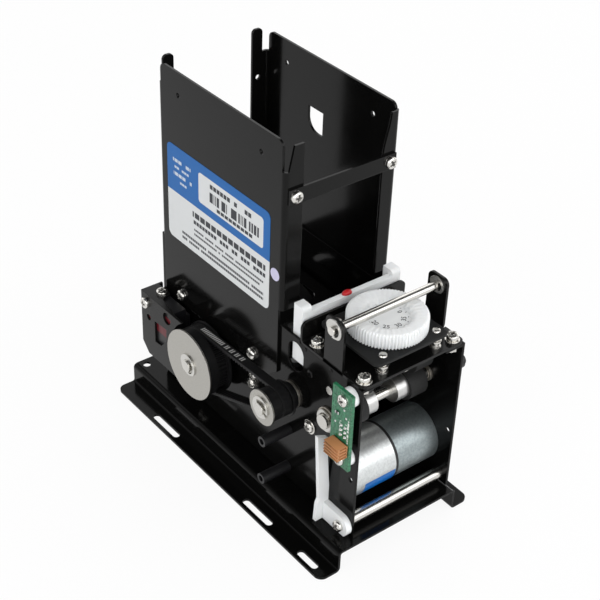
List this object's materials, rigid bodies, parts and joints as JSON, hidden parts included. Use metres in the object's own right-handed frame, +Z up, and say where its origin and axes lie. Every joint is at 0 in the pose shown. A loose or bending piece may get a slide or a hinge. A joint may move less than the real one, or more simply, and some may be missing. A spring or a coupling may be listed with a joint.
{
  "type": "card dispenser mechanism",
  "caption": "Motor-driven card dispenser: black sheet-metal chassis on a slotted base, open card hopper, belt and gear drive, rubber rollers and a numbered gap dial.",
  "frame": {"origin": "middle of the base channel's underside", "axes": "+Z up; +X to the gear side (the belt and pulleys are at -X); cards leave towards -Y, the hopper is at +Y"},
  "size_m": [0.09, 0.167, 0.1868],
  "materials": {
    "black_paint": "gloss black paint on sheet steel",
    "grey_paint": "satin dark grey paint on sheet steel",
    "steel": "turned bright steel",
    "plated_steel": "nickel plated steel",
    "spring_steel": "dark spring steel",
    "aluminium": "turned aluminium",
    "motor_steel": "zinc plated drawn steel",
    "motor_zinc": "dull zinc alloy",
    "white_plastic": "moulded white acetal",
    "black_plastic": "black nylon",
    "red_plastic": "red plastic",
    "tan_plastic": "tan nylon",
    "board_green": "green solder mask",
    "label_film": "printed film",
    "black_rubber": "matt rubber",
    "belt_rubber": "neoprene belt"
  },
  "bodies": {
    "frame": {"base_plate": "black_paint", "left_chassis_plate": "black_paint", "right_chassis_plate": "black_paint", "front_deck": "black_paint", "hopper_left_plate": "black_paint", "hopper_right_plate": "black_paint", "hopper_front_strip": "black_paint", "hopper_floor": "black_paint", "gate_plate": "black_paint", "front_cross_rod": "steel", "cross_rods": "steel", "guard_rod": "plated_steel", "guard_rod_clips": "spring_steel", "dial_plate": "black_paint", "dial_spacers": "steel", "dial_rivets": "steel", "motor_can": "motor_steel", "motor_gearbox": "motor_zinc", "sensor_board": "board_green", "board_spacers": "white_plastic", "board_connector": "tan_plastic", "cable_guide": "white_plastic", "side_posts": "black_plastic", "rear_bracket": "grey_paint", "rear_sensor": "red_plastic", "rear_board": "board_green", "shaft_bushes": "plated_steel", "idler_stud": "steel", "right_cap": "black_plastic", "hopper_label": "label_film", "timing_belt": "belt_rubber", "pan_head_screws": "plated_steel", "deck_washers": "steel", "deck_nuts": "steel"},
    "pick_set": {"pick_shaft": "steel", "pick_wheels": "white_plastic", "pick_tyres": "black_rubber", "big_pulley": "aluminium", "pick_clips": "spring_steel"},
    "feed_set": {"feed_shaft": "steel", "feed_rollers": "black_rubber", "feed_gear": "white_plastic", "small_pulley": "aluminium", "feed_clips": "spring_steel"},
    "exit_set": {"exit_shaft": "steel", "exit_hubs": "aluminium", "exit_rollers": "black_rubber", "exit_gear": "white_plastic", "exit_clips": "spring_steel"},
    "idler": {"idler_gear": "white_plastic"},
    "pinion": {"motor_pinion": "steel"},
    "dial": {"thumb_dial": "white_plastic", "dial_spindle": "steel"},
    "pinch_carriage": {"pinch_yoke": "steel", "pinch_shaft": "steel"},
    "pinch_roller_pair": {"pinch_rollers": "black_rubber"},
    "lever": {"pressure_lever": "white_plastic", "lever_mark": "red_plastic"}
  },
  "joints": [
    {"name": "pick_spin", "type": "hinge", "parent": "frame", "child": "pick_set", "pos_m": [0.0051, 0.0235, 0.0514], "axis": [1, 0, 0], "continuous": true},
    {"name": "feed_spin", "type": "hinge", "parent": "frame", "child": "feed_set", "pos_m": [0.0051, -0.0333, 0.0635], "axis": [1, 0, 0], "continuous": true},
    {"name": "exit_spin", "type": "hinge", "parent": "frame", "child": "exit_set", "pos_m": [0.0051, -0.0588, 0.0662], "axis": [1, 0, 0], "continuous": true},
    {"name": "idler_spin", "type": "hinge", "parent": "frame", "child": "idler", "pos_m": [0.0392, -0.05037, 0.04884], "axis": [1, 0, 0], "continuous": true},
    {"name": "pinion_spin", "type": "hinge", "parent": "frame", "child": "pinion", "pos_m": [0.0392, -0.05639, 0.03305], "axis": [1, 0, 0], "continuous": true},
    {"name": "dial_turn", "type": "hinge", "parent": "frame", "child": "dial", "pos_m": [0.0051, -0.0597, 0.108], "axis": [0, 0, 1], "range_deg": [-150, 150]},
    {"name": "pinch_lift", "type": "slide", "parent": "frame", "child": "pinch_carriage", "axis": [0, 0, 1], "range_m": [-0.0003, 0.0003]},
    {"name": "pinch_spin", "type": "hinge", "parent": "pinch_carriage", "child": "pinch_roller_pair", "pos_m": [0.0051, -0.0597, 0.0829], "axis": [1, 0, 0], "continuous": true},
    {"name": "lever_tilt", "type": "hinge", "parent": "frame", "child": "lever", "pos_m": [0.0051, -0.0452, 0.0823], "axis": [-1, 0, 0], "range_deg": [0, 4], "stiffness_Nm_per_rad": 0.02, "springref_deg": -6.88}
  ],
  "couplings": [
    {"joint": "feed_spin", "follows": "pick_spin", "ratio": 2.4},
    {"joint": "exit_spin", "follows": "pick_spin", "ratio": 3.36},
    {"joint": "idler_spin", "follows": "pick_spin", "ratio": -2.4},
    {"joint": "pinion_spin", "follows": "pick_spin", "ratio": 4.8},
    {"joint": "pinch_lift", "follows": "dial_turn", "m_per_rad": -0.00011141}
  ]
}
